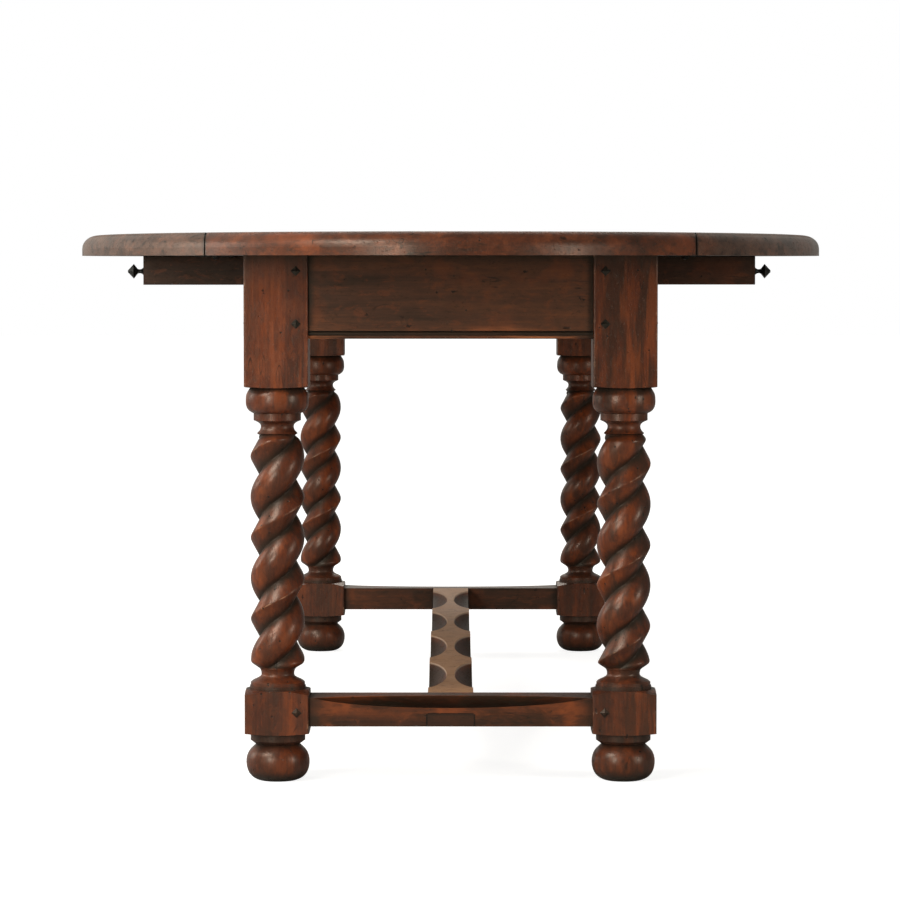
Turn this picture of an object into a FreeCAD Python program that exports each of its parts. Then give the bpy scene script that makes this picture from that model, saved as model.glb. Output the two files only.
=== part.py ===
import FreeCAD, Part
import math
import os

from FreeCAD import Placement, Rotation, Vector

# An oval drop-leaf dining table on four double-twist legs.
# Millimetres. X runs across the table, Y along it, Z up. The origin is on the floor
# below the middle of the top. Front is -Y, rear is +Y, left is -X, right is +X.
# The table stands open: both leaves are up, on bearers (lopers) that are pulled out.

# Driving sizes of the whole table
table_height = 775.0
table_length = 2380.0
table_width = 1190.0
top_thickness = 32.0
fixed_top_width = 681.0
leaf_gap = 1.6
side_overhang = 50.5
end_overhang = 259.5
leg_square = 90.0
overrun = 5.0
peg_play = 0.1
screw_play = 0.1

underside = table_height - top_thickness
half_square = leg_square / 2
leg_x = fixed_top_width / 2 - side_overhang - half_square
leg_y = table_length / 2 - end_overhang - half_square
corners = [(-1, -1), (1, -1), (-1, 1), (1, 1)]
corner_names = {(-1, -1): "front_left", (1, -1): "front_right", (-1, 1): "rear_left", (1, 1): "rear_right"}
up = Vector(0, 0, 1)
along_table = Vector(0, 1, 0)


def board(low, high):
    """A square-edged board between two opposite corners, given in any order."""
    ends = [sorted(pair) for pair in zip(low, high)]
    sides = [end[1] - end[0] for end in ends]
    return Part.makeBox(*sides, Vector(*[end[0] for end in ends]))


def turned(runs):
    """A solid of revolution about Z. Each run of points is a straight line or one smooth curve."""
    edges = []
    for run in runs:
        if len(run) == 2:
            edges.append(Part.LineSegment(*run).toShape())
        else:
            curve = Part.BSplineCurve()
            curve.buildFromPoles(run, False, 3)
            edges.append(curve.toShape())
    first = runs[0][0]
    last = runs[-1][-1]
    first_centre = Vector(0, 0, first.z)
    last_centre = Vector(0, 0, last.z)
    edges.append(Part.LineSegment(last, last_centre).toShape())
    edges.append(Part.LineSegment(last_centre, first_centre).toShape())
    edges.append(Part.LineSegment(first_centre, first).toShape())
    outline = Part.Face(Part.Wire(edges))
    solid = Part.Solid(outline.revolve(Vector(0, 0, 0), up, 360))
    return solid


def straight(points):
    """Outline points of (radius, height) as a chain of straight runs."""
    spots = [Vector(radius, 0, height) for radius, height in points]
    return [list(pair) for pair in zip(spots, spots[1:])]


def smooth(points):
    """Outline points of (radius, height) as the control points of one smooth run."""
    return [[Vector(radius, 0, height) for radius, height in points]]


def stand(solid, spot, outward):
    """Put a piece that was made standing on Z at a spot, with its Z turned to point outward."""
    placed = solid.copy()
    placed.Placement = Placement(spot, Rotation(up, outward))
    return placed


def turn_half(solid):
    """The same piece at the opposite corner or end of the table."""
    return solid.rotated(Vector(0, 0, 0), up, 180)


def join(solids):
    """One solid out of pieces that touch or overlap."""
    return solids[0].fuse(solids[1:]).removeSplitter()


def save(node, solids):
    """Write one node, a single solid or a group of like solids."""
    group = Part.makeCompound(solids) if len(solids) > 1 else solids[0]
    group.exportStep("parts/" + node + ".step")


def screw(length, head_radius, shank_radius, play):
    """A countersunk screw, head face on Z 0 and pointing down, grown all round by some play."""
    head_depth = head_radius - shank_radius
    head = Part.makeCone(shank_radius + play, head_radius + play, head_depth, Vector(0, 0, -head_depth))
    shank = Part.makeCylinder(shank_radius + play, length + play, Vector(0, 0, -length - play))
    return head.fuse(shank).removeSplitter()


# The oval top
# One ellipse of solid boards in three parts: a fixed middle and two leaves. The edge is
# square below and rolls over in a quarter round to the flat top.
edge_round_in = 25.0
edge_round_high = 21.0
edge_steps = 6


def oval(inset, height):
    """The outline of the top, drawn in by an inset, at a height."""
    half_length = table_length / 2 - inset
    half_width = table_width / 2 - inset
    tip = Vector(0, half_length, height)
    flank = Vector(half_width, 0, height)
    return Part.Wire(Part.Ellipse(tip, flank, Vector(0, 0, height)).toShape())


def whole_top():
    square_edge = top_thickness - edge_round_high
    lower = Part.Face(oval(0, underside)).extrude(Vector(0, 0, square_edge))
    outlines = []
    for step in range(edge_steps + 1):
        angle = math.radians(90 * step / edge_steps)
        inset = edge_round_in * (1 - math.cos(angle))
        height = underside + square_edge + edge_round_high * math.sin(angle)
        outlines.append(oval(inset, height))
    upper = Part.makeLoft(outlines, True)
    return lower.fuse(upper)


def across_band(low_x, high_x):
    """A block that spans the top's length and depth between two places across it."""
    half = table_length / 2 + overrun
    return board((low_x, -half, underside - overrun), (high_x, half, table_height + overrun))


fixed_half = fixed_top_width / 2
leaf_start = fixed_half + leaf_gap
top_blank = whole_top()
top_center = top_blank.common(across_band(-fixed_half, fixed_half))
leaves = {
    -1: top_blank.common(across_band(-table_width, -leaf_start)),
    1: top_blank.common(across_band(leaf_start, table_width)),
}

# Turned feet
# A flattened ball under a turned collar with a sloped underside. A dowel on top is glued
# up into the leg.
foot_height = 67.5
foot_radius = 45.0
foot_ball_height = 51.3
foot_neck_radius = 31.0
foot_flat_radius = 26.0
foot_collar_radius = 38.7
foot_collar_height = 10.5
foot_dowel_radius = 14.0
foot_dowel_length = 19.0
foot_dowel_play = 0.1
ball_reach_shares = [0.0, 0.487, 0.826, 1.076, 0.865, 0.393, 0.0]
ball_up_shares = [1.0, 0.886, 0.781, 0.522, 0.172, 0.038, 0.0]


def foot():
    ball = []
    for reach, rise in zip(ball_reach_shares, ball_up_shares):
        inner = foot_neck_radius if rise > 0.5 else foot_flat_radius
        ball.append((inner + (foot_radius - inner) * reach, foot_ball_height * rise))
    collar = [
        (foot_dowel_radius, foot_height + foot_dowel_length),
        (foot_dowel_radius, foot_height),
        (foot_collar_radius, foot_height),
        (foot_collar_radius, foot_height - foot_collar_height),
        (foot_neck_radius, foot_ball_height),
    ]
    return turned(straight(collar) + smooth(ball))


# Legs
# Each is one length of timber: a long square at the top, a turned bun, a collar and a
# hollow, then a two-start twist, and a hollow and a ring above a short lower square. One
# strand of the twist is round and wide, the other is narrower with a soft ridge.
top_square_height = 186.0
low_square_height = 62.5
square_arris = 2.5
shoulder_rise = 2.5
shoulder_fall = 5.5
bun_height = 36.5
bun_radius = 45.0
bun_top_radius = 38.0
collar_radius = 33.5
collar_height = 10.0
upper_hollow_height = 18.5
upper_neck_radius = 23.5
bead_radius = 28.9
bead_undercut = 5.0
lower_hollow_height = 15.2
lower_neck_radius = 23.3
lower_bead_radius = 25.2
ring_radius = 38.4
ring_height = 4.6
ring_slope = 1.8
ring_step = 1.2
ring_step_height = 4.8
twist_lead = 115.1
twist_crest_radius = 38.6
twist_groove_radius = 24.0
twist_core_radius = 21.5
twist_bury = 6.0
twist_run_out_top = 7.0
twist_run_out_bottom = 7.0
round_strand_share = 0.54
ridge_softness_share = 0.06
points_round = 72
sections_per_turn = 24
twist_start_turns = {(-1, -1): 0.391, (1, -1): 0.964, (-1, 1): 0.381, (1, 1): 0.394}
bun_reach_shares = [0.0, 0.41, 0.79, 0.91, 0.975, 0.93, 0.54, 0.0]
bun_up_shares = [1.0, 0.885, 0.765, 0.655, 0.45, 0.24, 0.06, 0.0]
hollow_reach_shares = [1.0, 0.3, -0.06, -0.04, 0.26, 1.0]
hollow_up_shares = [1.0, 0.86, 0.66, 0.4, 0.2, 0.0]

top_square_foot = underside - top_square_height
bun_foot = top_square_foot - bun_height
collar_foot = bun_foot - collar_height
bead_at = collar_foot - upper_hollow_height
low_square_top = foot_height + low_square_height
ring_top = low_square_top + ring_step_height + ring_height + ring_slope
twist_foot = ring_top + ring_slope + lower_hollow_height


def bulge(top_radius, radius, foot_radius_in, low, high):
    """The points of a bun that swells from its top radius and back in to its foot."""
    points = []
    for reach, rise in zip(bun_reach_shares, bun_up_shares):
        inner = top_radius if rise > 0.5 else foot_radius_in
        points.append((inner + (radius - inner) * reach, low + (high - low) * rise))
    return points


def hollow(top_radius, neck_radius, base_radius, low, high):
    """The points of a turned hollow between two lips."""
    points = []
    for reach, rise in zip(hollow_reach_shares, hollow_up_shares):
        lip = top_radius if rise > 0.5 else base_radius
        points.append((neck_radius + (lip - neck_radius) * reach, low + (high - low) * rise))
    return points


def upper_turning():
    bun = bulge(bun_top_radius, bun_radius, collar_radius, bun_foot, top_square_foot)
    neck = hollow(collar_radius, upper_neck_radius, bead_radius, bead_at, collar_foot)
    return turned(
        straight([(bun_top_radius, top_square_foot + overrun), (bun_top_radius, top_square_foot)])
        + smooth(bun)
        + straight([(collar_radius, bun_foot), (collar_radius, collar_foot)])
        + smooth(neck)
        + straight([(bead_radius, bead_at), (twist_core_radius, bead_at - bead_undercut)])
    )


def lower_turning():
    neck = hollow(lower_bead_radius, lower_neck_radius, collar_radius, ring_top + ring_slope, twist_foot)
    ring = [
        (collar_radius, ring_top + ring_slope),
        (ring_radius - ring_slope, ring_top),
        (ring_radius, ring_top - ring_slope),
        (ring_radius, ring_top - ring_slope - ring_height),
        (ring_radius + ring_step, ring_top - ring_slope - ring_height),
        (ring_radius + ring_step, low_square_top - overrun),
    ]
    lip_top = twist_foot + lower_bead_radius - twist_core_radius
    lip = [(twist_core_radius, lip_top), (lower_bead_radius, twist_foot)]
    return turned(straight(lip) + smooth(neck) + straight(ring))


def strand_height(strand):
    """How far the surface stands out from groove, 0, to crest, 1, at a part turn past a groove."""
    if strand < round_strand_share:
        across = 2 * strand / round_strand_share - 1
        return 1 - across**2
    across = 2 * (strand - round_strand_share) / (1 - round_strand_share) - 1
    soft = ridge_softness_share
    return 1 - (math.hypot(across, soft) - soft) / (math.hypot(1, soft) - soft)


def eased(share):
    """Rise smoothly from 0 to 1."""
    held = min(max(share, 0), 1)
    return held * held * (3 - 2 * held)


def twisted_shaft(start_turn):
    """The twist, as one smooth closed surface whose lines follow the strands."""
    low = twist_foot - twist_bury
    high = bead_at + twist_bury
    rows = math.ceil((high - low) / twist_lead * sections_per_turn)
    sunk_by = twist_groove_radius - twist_core_radius
    depth = twist_crest_radius - twist_groove_radius
    crown_share = round_strand_share / 2
    poles = []
    for column in range(points_round):
        strand = column / points_round
        line = []
        for row in range(rows + 1):
            height = low + (high - low) * row / rows
            from_end = min(height - low, high - height)
            core = twist_core_radius + sunk_by * eased(from_end / twist_bury)
            above_foot = (height - twist_foot) / twist_run_out_bottom
            below_bead = (bead_at - height) / twist_run_out_top
            radius = core + depth * eased(min(above_foot, below_bead)) * strand_height(strand)
            turn = start_turn + strand - crown_share + (height - twist_foot) / twist_lead
            angle = 2 * math.pi * turn
            line.append(Vector(radius * math.cos(angle), radius * math.sin(angle), height))
        poles.append(line)
    degree = 3
    round_knots = list(range(points_round + 1))
    round_counts = [1] * (points_round + 1)
    along_knots = list(range(rows - degree + 2))
    along_counts = [degree + 1] + [1] * (rows - degree) + [degree + 1]
    surface = Part.BSplineSurface()
    surface.buildFromPolesMultsKnots(
        poles, round_counts, along_counts, round_knots, along_knots, True, False, degree, degree
    )
    side = surface.toShape()
    ends = [Part.Face(Part.Wire(edge)) for edge in side.Edges if edge.BoundBox.ZLength < square_arris / 2]
    shell = Part.makeShell([side] + ends)
    shell.sewShape()
    shaft = Part.Solid(shell)
    if shaft.Volume < 0:
        shaft.reverse()
    return shaft


def square_length(low, high, top_fall, base_rise):
    """A square length of the leg with eased edges, its corners turned away at each end."""
    block = board((-half_square, -half_square, low), (half_square, half_square, high))
    upright = [edge for edge in block.Edges if edge.BoundBox.ZLength > high - low - overrun]
    block = block.makeFillet(square_arris, upright)
    reach = leg_square * math.sqrt(2) / 2
    trim = [(half_square, high), (reach, high - top_fall), (reach, low + base_rise), (half_square, low)]
    return block.common(turned(straight(trim)))


def plain_leg(start_turn):
    top_square = square_length(top_square_foot, underside, 0, shoulder_rise)
    low_square = square_length(foot_height, low_square_top, shoulder_fall, shoulder_rise)
    pieces = [top_square, upper_turning(), twisted_shaft(start_turn), lower_turning(), low_square]
    return pieces[0].fuse(pieces[1:])


# Aprons
# Boards tenoned into the top squares, set back a little from the legs' faces. The lower
# outer edge has a quirk, a bead and a rounded lip.
apron_height = 117.0
apron_thickness = 25.0
apron_setback = 6.0
apron_tenon_thickness = 10.0
apron_tenon_setback = 7.0
apron_tenon_length = 40.0
apron_tenon_shoulder = 10.0
tenon_end_play = 1.0
moulding_height = 11.0
quirk_depth = 2.2
quirk_height = 1.6
bead_height = 4.4
lip_setback = 3.0
lip_round = 2.8

apron_foot = underside - apron_height
end_face_y = leg_y + half_square - apron_setback
side_face_x = leg_x + half_square - apron_setback


def apron_outline():
    """The apron's section, its outer face on Y 0 and its thickness towards +Y."""
    quirk = apron_foot + moulding_height
    bead_top = quirk - quirk_height
    bead_foot = bead_top - bead_height
    face = [
        Vector(0, apron_thickness, apron_foot),
        Vector(0, apron_thickness, underside),
        Vector(0, 0, underside),
        Vector(0, 0, quirk),
        Vector(0, quirk_depth, quirk - quirk_height / 2),
        Vector(0, quirk_depth / 4, bead_top),
    ]
    edges = [Part.LineSegment(*pair).toShape() for pair in zip(face, face[1:])]
    bead_end = Vector(0, quirk_depth / 2, bead_foot)
    edges.append(Part.Arc(face[-1], Vector(0, 0, (bead_top + bead_foot) / 2), bead_end).toShape())
    lip_top = Vector(0, lip_setback, bead_foot)
    edges.append(Part.LineSegment(bead_end, lip_top).toShape())
    lip_turn = Vector(0, lip_setback, apron_foot + lip_round)
    edges.append(Part.LineSegment(lip_top, lip_turn).toShape())
    cut_back = lip_round * (1 - math.sqrt(2) / 2)
    lip_foot = Vector(0, lip_setback + lip_round, apron_foot)
    lip_middle = Vector(0, lip_setback + cut_back, apron_foot + cut_back)
    edges.append(Part.Arc(lip_turn, lip_middle, lip_foot).toShape())
    edges.append(Part.LineSegment(lip_foot, face[0]).toShape())
    return Part.Face(Part.Wire(edges))


def apron_board(length):
    """An apron lying along X, with its middle on X 0."""
    outline = apron_outline()
    outline.translate(Vector(-length / 2, 0, 0))
    return outline.extrude(Vector(length, 0, 0))


def tenons(length, near, far, low, high, reach):
    """The pair of tenons at the ends of a board that lies along X."""
    pair = []
    for end in (-1, 1):
        start = end * length / 2
        pair.append(board((start, near, low), (start + end * reach, far, high)))
    return pair


def apron_tenons(length, reach):
    near = apron_tenon_setback
    far = near + apron_tenon_thickness
    low = apron_foot + moulding_height + quirk_height
    return tenons(length, near, far, low, underside - apron_tenon_shoulder, reach)


def to_front(solid):
    return solid.translated(Vector(0, -end_face_y, 0))


def to_left(solid):
    return solid.rotated(Vector(0, 0, 0), up, -90).translated(Vector(-side_face_x, 0, 0))


end_apron_length = 2 * leg_x - leg_square
side_apron_length = 2 * leg_y - leg_square
end_tenons = apron_tenons(end_apron_length, apron_tenon_length)
side_tenons = apron_tenons(side_apron_length, apron_tenon_length)
front_apron = to_front(join([apron_board(end_apron_length)] + end_tenons))
left_apron = to_left(join([apron_board(side_apron_length)] + side_tenons))
mortise_reach = apron_tenon_length + tenon_end_play
mortises = [to_front(block) for block in apron_tenons(end_apron_length, mortise_reach)]
mortises += [to_left(block) for block in apron_tenons(side_apron_length, mortise_reach)]

# Stretchers
# Two end stretchers are tenoned into the lower squares, and one long stretcher is lapped
# up into them from below. Feet have worn a long hollow in the outer top edge of each end
# stretcher and a row of hollows along both top edges of the long one.
stretcher_height = 40.0
stretcher_depth = 72.0
stretcher_rise = 12.5
stretcher_setback = 6.0
stretcher_tenon_setback = 14.0
stretcher_tenon_depth = 46.0
stretcher_tenon_height = 22.0
stretcher_tenon_length = 42.0
long_stretcher_width = 65.0
lap_height = 17.4
end_wear_share = 0.97
end_wear_down = 14.0
end_wear_back = 35.0
edge_wear_share = 0.835
edge_wear_down = 24.0
edge_wear_back = 27.0
edge_wear_count = 4
edge_wear_ends = 28.5
wear_off_down_share = 0.57
wear_off_back_share = 0.34

stretcher_foot = foot_height + stretcher_rise
stretcher_top = stretcher_foot + stretcher_height
stretcher_face_y = leg_y + half_square - stretcher_setback
stretcher_back_y = stretcher_face_y - stretcher_depth


def worn_hollow(length, down, back):
    """A long rounded hollow along an edge that lies on X, cutting down in Z and back in Y.

    It is a stretched ball whose centre stands off the edge, so that its ends run out gently.
    """
    off_down = down * wear_off_down_share
    off_back = back * wear_off_back_share
    wide = back + off_back
    deep = down + off_down
    spread = wide**2 * deep**2 - off_back**2 * off_down**2
    per_back = (deep**2 - off_down**2) / spread
    per_down = (wide**2 - off_back**2) / spread
    per_length = (1 - off_back**2 * per_back - off_down**2 * per_down) / (length / 2) ** 2
    stretch = FreeCAD.Matrix()
    stretch.scale(Vector(1 / math.sqrt(per_length), 1 / math.sqrt(per_back), 1 / math.sqrt(per_down)))
    ball = Part.makeSphere(1).transformGeometry(stretch)
    ball.translate(Vector(0, -off_back, off_down))
    return ball


def front_stretcher():
    half = leg_x - half_square
    rail = board((-half, -stretcher_face_y, stretcher_foot), (half, -stretcher_back_y, stretcher_top))
    wear = worn_hollow(2 * half * end_wear_share, end_wear_down, end_wear_back)
    wear.translate(Vector(0, -stretcher_face_y, stretcher_top))
    return join([rail] + stretcher_tenons(stretcher_tenon_length)).cut(wear)


def stretcher_tenons(reach):
    near = -stretcher_face_y + stretcher_tenon_setback
    far = near + stretcher_tenon_depth
    low = stretcher_foot + (stretcher_height - stretcher_tenon_height) / 2
    return tenons(2 * (leg_x - half_square), near, far, low, low + stretcher_tenon_height, reach)


def lap_ends():
    """The two tongues of the long stretcher that lie in the end stretchers."""
    half = long_stretcher_width / 2
    high = stretcher_foot + lap_height
    return [
        board((-half, end * stretcher_back_y, stretcher_foot), (half, end * stretcher_face_y, high))
        for end in (-1, 1)
    ]


def make_long_stretcher():
    half = long_stretcher_width / 2
    rail = board((-half, -stretcher_back_y, stretcher_foot), (half, stretcher_back_y, stretcher_top))
    rail = join([rail] + lap_ends())
    spacing = 2 * (stretcher_back_y - edge_wear_ends) / edge_wear_count
    wear = worn_hollow(spacing * edge_wear_share, edge_wear_down, edge_wear_back)
    for side in (-1, 1):
        edge = wear.rotated(Vector(0, 0, 0), up, side * 90)
        for number in range(edge_wear_count):
            along = (number - (edge_wear_count - 1) / 2) * spacing
            rail = rail.cut(edge.translated(Vector(side * half, along, stretcher_top)))
    return rail


mortises += stretcher_tenons(stretcher_tenon_length + tenon_end_play)
end_stretcher = front_stretcher().cut(Part.makeCompound(lap_ends()))
long_stretcher = make_long_stretcher()

# Pegs
# Every tenon is pinned with a round peg whose square head is set cornerwise and cut to a
# low pyramid. The laps below are pinned with plain pegs.
peg_radius = 4.5
peg_head_across = 9.6
peg_collar_height = 0.8
peg_head_height = 3.4
peg_point_across = 1.0
peg_inset = 16.8
apron_peg_length = 40.0
stretcher_peg_length = 62.0
apron_peg_drops = [22.0, 96.0]
lap_peg_radius = 6.0
lap_peg_spacing = 36.0
lap_peg_short = 4.0


def cornerwise_square(across, height):
    reach = across / math.sqrt(2)
    places = [(reach, 0), (0, reach), (-reach, 0), (0, -reach)]
    spots = [Vector(*place, height) for place in places]
    return Part.makePolygon(spots + spots[:1])


def peg(length):
    """A headed peg that points down from Z 0."""
    collar = Part.Face(cornerwise_square(peg_head_across, 0)).extrude(Vector(0, 0, peg_collar_height))
    base = cornerwise_square(peg_head_across, peg_collar_height)
    point = cornerwise_square(peg_point_across, peg_collar_height + peg_head_height)
    head = Part.makeLoft([base, point], True, True)
    shank = Part.makeCylinder(peg_radius, length, Vector(0, 0, -length))
    return join([collar, head, shank])


def peg_hole(length):
    return Part.makeCylinder(peg_radius + peg_play, length + overrun, Vector(0, 0, -length))


end_peg_seats = []
side_peg_seats = []
stretcher_peg_seats = []
for side, end in corners:
    near_x = side * (leg_x - half_square + peg_inset)
    near_y = end * (leg_y - half_square + peg_inset)
    end_face = end * (leg_y + half_square)
    side_face = side * (leg_x + half_square)
    for drop in apron_peg_drops:
        end_peg_seats.append((Vector(near_x, end_face, underside - drop), Vector(0, end, 0)))
        side_peg_seats.append((Vector(side_face, near_y, underside - drop), Vector(side, 0, 0)))
    middle = stretcher_foot + stretcher_height / 2
    stretcher_peg_seats.append((Vector(near_x, end_face, middle), Vector(0, end, 0)))
end_apron_pegs = [stand(peg(apron_peg_length), *seat) for seat in end_peg_seats]
side_apron_pegs = [stand(peg(apron_peg_length), *seat) for seat in side_peg_seats]
stretcher_pegs = [stand(peg(stretcher_peg_length), *seat) for seat in stretcher_peg_seats]
peg_holes = [stand(peg_hole(apron_peg_length), *seat) for seat in end_peg_seats + side_peg_seats]
peg_holes += [stand(peg_hole(stretcher_peg_length), *seat) for seat in stretcher_peg_seats]

lap_peg_top = stretcher_top - end_wear_down - lap_peg_short
lap_peg_length = lap_peg_top - stretcher_foot
lap_spots = []
for end in (-1, 1):
    for side in (-1, 1):
        middle_y = end * (stretcher_face_y + stretcher_back_y) / 2
        lap_spots.append(Vector(side * lap_peg_spacing / 2, middle_y, stretcher_foot))
lap_pegs = [Part.makeCylinder(lap_peg_radius, lap_peg_length, spot) for spot in lap_spots]
lap_hole_radius = lap_peg_radius + peg_play
lap_holes = [Part.makeCylinder(lap_hole_radius, lap_peg_length + peg_play, spot) for spot in lap_spots]

# Lopers
# Four square bearers, two from each side, slide out through notches in the side aprons to
# carry the leaves. Their inner ends run in a rail down the middle. Left and right ones
# pass side by side. Two dowels through each stop it at the rail, all the way out and in.
loper_height = 42.7
loper_width = 38.0
loper_travel = 168.0
loper_tail = 30.0
loper_arris = 1.5
loper_gap = 0.3
loper_place_share = 0.6663
loper_stagger = 50.0
rail_thickness = 30.0
rail_height = 80.0
rail_tenon_length = 12.0
rail_tenon_thickness = 12.0
rail_tenon_height = 50.0
stop_radius = 4.0
stop_drop = 10.0
stop_depth = 28.0
stop_play = 0.1

loper_top = underside - loper_gap
loper_foot = loper_top - loper_height
loper_out = side_face_x + loper_travel
loper_near = leg_y * loper_place_share
loper_far = loper_near + loper_stagger
stop_reach = rail_thickness / 2 + loper_gap + stop_radius
loper_places = {(-1, -1): -loper_far, (1, -1): -loper_near, (-1, 1): loper_near, (1, 1): loper_far}


def loper_box(side, along, start, finish, gap):
    """A length of a loper's path between two places across the table."""
    half = loper_width / 2 + gap
    near = (side * start, along - half, loper_foot - gap)
    return board(near, (side * finish, along + half, loper_top + gap))


def stop_dowels(side, along, play):
    dowels = []
    for across in (-stop_reach, stop_reach + loper_travel):
        spot = Vector(side * across, along, loper_foot - stop_drop)
        dowels.append(Part.makeCylinder(stop_radius + play, stop_drop + stop_depth + play, spot))
    return dowels


# Knobs
# A blacksmith's pull on each loper's outer end: a flared foot, a thin neck and an
# eight-sided double-pointed head, on a stud driven into the wood.
knob_drop = 1.5
knob_foot_radius = 8.7
knob_neck_radius = 3.2
knob_collar_radius = 4.0
knob_head_radius = 10.9
knob_tip_radius = 3.2
knob_collar_at = 10.2
knob_widest_at = 15.4
knob_tip_at = 22.6
knob_length = 24.2
knob_sides = 8
knob_stud_radius = 2.5
knob_stud_length = 28.0
knob_flare_shares = [0.2, 0.75]


def many_sided(radius, height):
    spots = []
    for corner in range(knob_sides):
        angle = 2 * math.pi * corner / knob_sides
        spots.append(Vector(radius * math.cos(angle), radius * math.sin(angle), height))
    return Part.makePolygon(spots + spots[:1])


def knob():
    """A knob standing on Z 0, its stud pointing down."""
    pull = (8 * knob_neck_radius - knob_foot_radius - knob_collar_radius) / 6
    flare = [
        (knob_foot_radius, 0),
        (pull, knob_collar_at * knob_flare_shares[0]),
        (pull, knob_collar_at * knob_flare_shares[1]),
        (knob_collar_radius, knob_collar_at),
    ]
    stem = turned(smooth(flare))
    rings = [
        many_sided(knob_collar_radius, knob_collar_at),
        many_sided(knob_head_radius, knob_widest_at),
        many_sided(knob_tip_radius, knob_tip_at),
        many_sided(knob_tip_radius / 2, knob_length),
    ]
    head = [Part.makeLoft(list(pair), True, True) for pair in zip(rings, rings[1:])]
    stud = Part.makeCylinder(knob_stud_radius, knob_stud_length, Vector(0, 0, -knob_stud_length))
    return join([stem, stud] + head)


def knob_seat(side, along):
    middle = (loper_top + loper_foot) / 2 - knob_drop
    return Vector(side * loper_out, along, middle), Vector(side, 0, 0)


def loper(side, along):
    bar = loper_box(side, along, -loper_tail, loper_out, 0)
    lengthways = [edge for edge in bar.Edges if edge.BoundBox.XLength > loper_tail]
    bar = bar.makeFillet(loper_arris, lengthways)
    stud_hole = Part.makeCylinder(
        knob_stud_radius + peg_play, knob_stud_length + overrun, Vector(0, 0, -knob_stud_length - peg_play)
    )
    holes = [stand(stud_hole, *knob_seat(side, along))] + stop_dowels(side, along, stop_play)
    return bar.cut(Part.makeCompound(holes))


def plain_rail():
    half = rail_thickness / 2
    inner = end_face_y - apron_thickness
    rail = board((-half, -inner, underside - rail_height), (half, inner, underside))
    tongue = rail_tenon_thickness / 2
    reach = inner + rail_tenon_length
    middle = underside - rail_height / 2
    low = middle - rail_tenon_height / 2
    high = middle + rail_tenon_height / 2
    return rail, board((-tongue, -reach, low), (tongue, reach, high))


half_width = table_width / 2
paths = [loper_box(1, along, -half_width, half_width, loper_gap) for along in loper_places.values()]
rail_body, rail_tongue = plain_rail()
center_rail = join([rail_body, rail_tongue]).cut(Part.makeCompound(paths))

# Fixings under the top
# Wooden buttons screwed to the top hook into slots in the aprons, so the top can move
# with the seasons. Braces across the corners are screwed to the legs. The end buttons share
# the room between the braces.
button_width = 40.0
button_length = 34.0
button_height = 22.0
button_tongue_length = 10.0
button_tongue_height = 8.0
button_tongue_drop = 10.0
slot_play = 1.0
end_button_shares = [-0.611, 0.611]
end_button_width_share = 0.407
side_button_shares = [-0.45, 0, 0.45]
button_screw_radius = 2.2
button_screw_head = 4.4
button_screw_length = 38.0
brace_thickness = 30.0
brace_height = 70.0
brace_gap = 0.3
brace_screw_radius = 3.0
brace_screw_head = 6.0
brace_screw_length = 58.0
brace_screw_spacing = 34.0


apron_inner_x = side_face_x - apron_thickness
apron_inner_y = end_face_y - apron_thickness
leg_inner_x = leg_x - half_square
leg_inner_y = leg_y - half_square
brace_outer_sum = leg_inner_x + leg_inner_y - brace_gap * math.sqrt(2)
brace_inner_sum = brace_outer_sum - brace_thickness * math.sqrt(2)
brace_edge_x = brace_inner_sum - apron_inner_y
end_button_places = [share * brace_edge_x for share in end_button_shares]
end_button_width = end_button_width_share * brace_edge_x
side_button_places = [share * side_apron_length / 2 for share in side_button_shares]


def button(across, width):
    """A button against an apron that lies along X, outer face on Y 0."""
    inner = apron_thickness
    left = across - width / 2
    right = across + width / 2
    body = board((left, inner, underside - button_height), (right, inner + button_length, underside))
    high = underside - button_tongue_drop
    low = high - button_tongue_height
    tongue = board((left, inner - button_tongue_length, low), (right, inner, high))
    return join([body, tongue])


def button_slot(across, width):
    inner = apron_thickness
    half = width / 2 + slot_play
    high = underside - button_tongue_drop
    low = high - button_tongue_height - slot_play
    deep = inner - button_tongue_length - slot_play
    return board((across - half, deep, low), (across + half, inner + overrun, high))


def button_screw(across, play):
    spot = Vector(across, apron_thickness + button_length / 2, underside - button_height)
    upward = screw(button_screw_length, button_screw_head, button_screw_radius, play)
    return stand(upward, spot, -up)


def round_table(make_end, make_side):
    """Copies at the front, rear, left and right aprons."""
    fronts = [to_front(piece) for piece in make_end]
    lefts = [to_left(piece) for piece in make_side]
    return fronts + [turn_half(piece) for piece in fronts] + lefts + [turn_half(piece) for piece in lefts]


button_holes = round_table(
    [button_screw(place, screw_play) for place in end_button_places],
    [button_screw(place, screw_play) for place in side_button_places],
)
top_button_screws = round_table(
    [button_screw(place, 0) for place in end_button_places],
    [button_screw(place, 0) for place in side_button_places],
)
plain_buttons = round_table(
    [button(place, end_button_width) for place in end_button_places],
    [button(place, button_width) for place in side_button_places],
)
top_buttons = [piece.cut(hole) for piece, hole in zip(plain_buttons, button_holes)]
slots = round_table(
    [button_slot(place, end_button_width) for place in end_button_places],
    [button_slot(place, button_width) for place in side_button_places],
)


def brace():
    """The brace behind the rear right leg, a board on edge across the corner."""
    spots = [
        Vector(apron_inner_x, brace_outer_sum - apron_inner_x, 0),
        Vector(brace_outer_sum - apron_inner_y, apron_inner_y, 0),
        Vector(brace_edge_x, apron_inner_y, 0),
        Vector(apron_inner_x, brace_inner_sum - apron_inner_x, 0),
    ]
    face = Part.Face(Part.makePolygon(spots + spots[:1]))
    face.translate(Vector(0, 0, underside - button_tongue_drop - brace_height))
    return face.extrude(Vector(0, 0, brace_height))


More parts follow.
